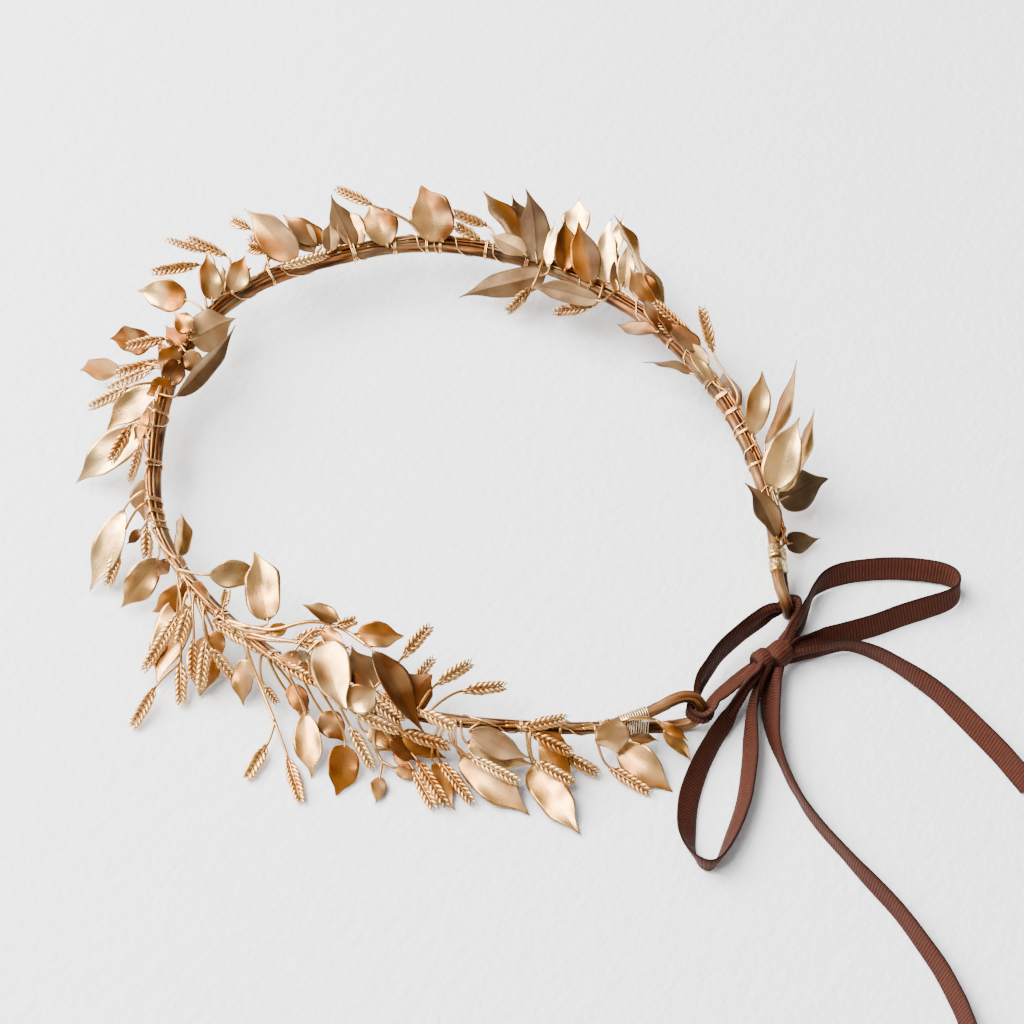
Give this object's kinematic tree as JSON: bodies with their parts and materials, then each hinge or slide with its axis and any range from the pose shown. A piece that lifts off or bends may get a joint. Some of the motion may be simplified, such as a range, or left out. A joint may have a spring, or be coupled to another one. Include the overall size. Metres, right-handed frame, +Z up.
{
  "type": "gilded leaf hair wreath",
  "caption": "Open hair wreath of gilded leaves and ears of grain on a wrapped wire band, with an eye at each end and a ribbon tied in a bow.",
  "frame": {"origin": "on the table that the wreath lies on, in the middle of the opening for the head", "axes": "+X across the head, +Y towards the front of the band, away from the bow, +Z up from the table"},
  "size_m": [0.2082, 0.3236, 0.0309],
  "materials": {
    "wire": "dark brown wrapped wire, satin",
    "binding": "bright gold binding wire",
    "gilding": "satin gilding, matte taupe undersides",
    "ribbon": "ribbed chocolate brown ribbon"
  },
  "bodies": {
    "root": {"head_band": "wire", "collar_right": "binding", "collar_left": "binding", "spray_01": "gilding", "spray_02": "gilding", "spray_03": "gilding", "spray_04": "gilding", "spray_05": "gilding", "spray_06": "gilding", "spray_07": "gilding", "spray_08": "gilding", "spray_09": "gilding", "spray_10": "gilding", "spray_11": "gilding", "spray_12": "gilding", "spray_13": "gilding", "spray_14": "gilding", "spray_15": "gilding", "spray_16": "gilding", "spray_17": "gilding", "spray_18": "gilding", "spray_19": "gilding", "spray_20": "gilding", "spray_21": "gilding", "ribbon_tie": "ribbon", "bow_knot": "ribbon", "bow_loop_right": "ribbon", "bow_loop_left": "ribbon", "ribbon_tail_right": "ribbon", "ribbon_tail_left": "ribbon"}
  },
  "joints": []
}
